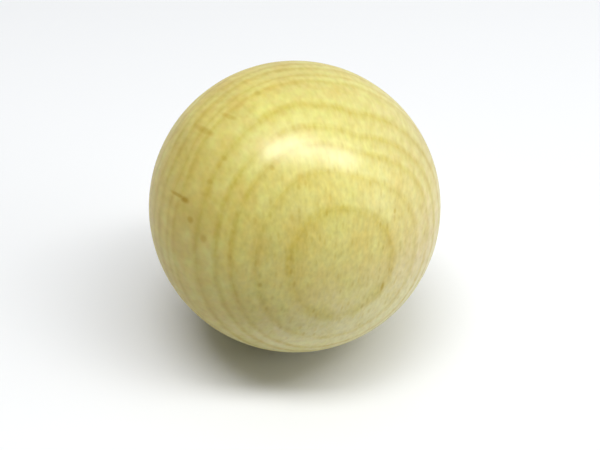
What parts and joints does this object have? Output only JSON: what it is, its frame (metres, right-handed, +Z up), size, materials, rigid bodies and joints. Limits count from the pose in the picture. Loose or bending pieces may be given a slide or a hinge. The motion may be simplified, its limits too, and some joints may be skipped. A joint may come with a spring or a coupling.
{
  "type": "wooden ball",
  "caption": "Solid wooden ball turned from one piece of pale hardwood with a clear gloss lacquer, for rolling, handling or setting in a ring, cup or dished stand.",
  "frame": {"origin": "centre of the ball", "axes": "+Z up, -Y towards the face that shows the innermost growth ring, lower right of centre; every axis through the origin is an axis of symmetry of the solid"},
  "size_m": [0.04, 0.04, 0.04],
  "materials": {
    "lacquered_wood": "clear gloss lacquer over pale close-grained hardwood"
  },
  "bodies": {
    "root": {"ball": "lacquered_wood"}
  },
  "joints": []
}
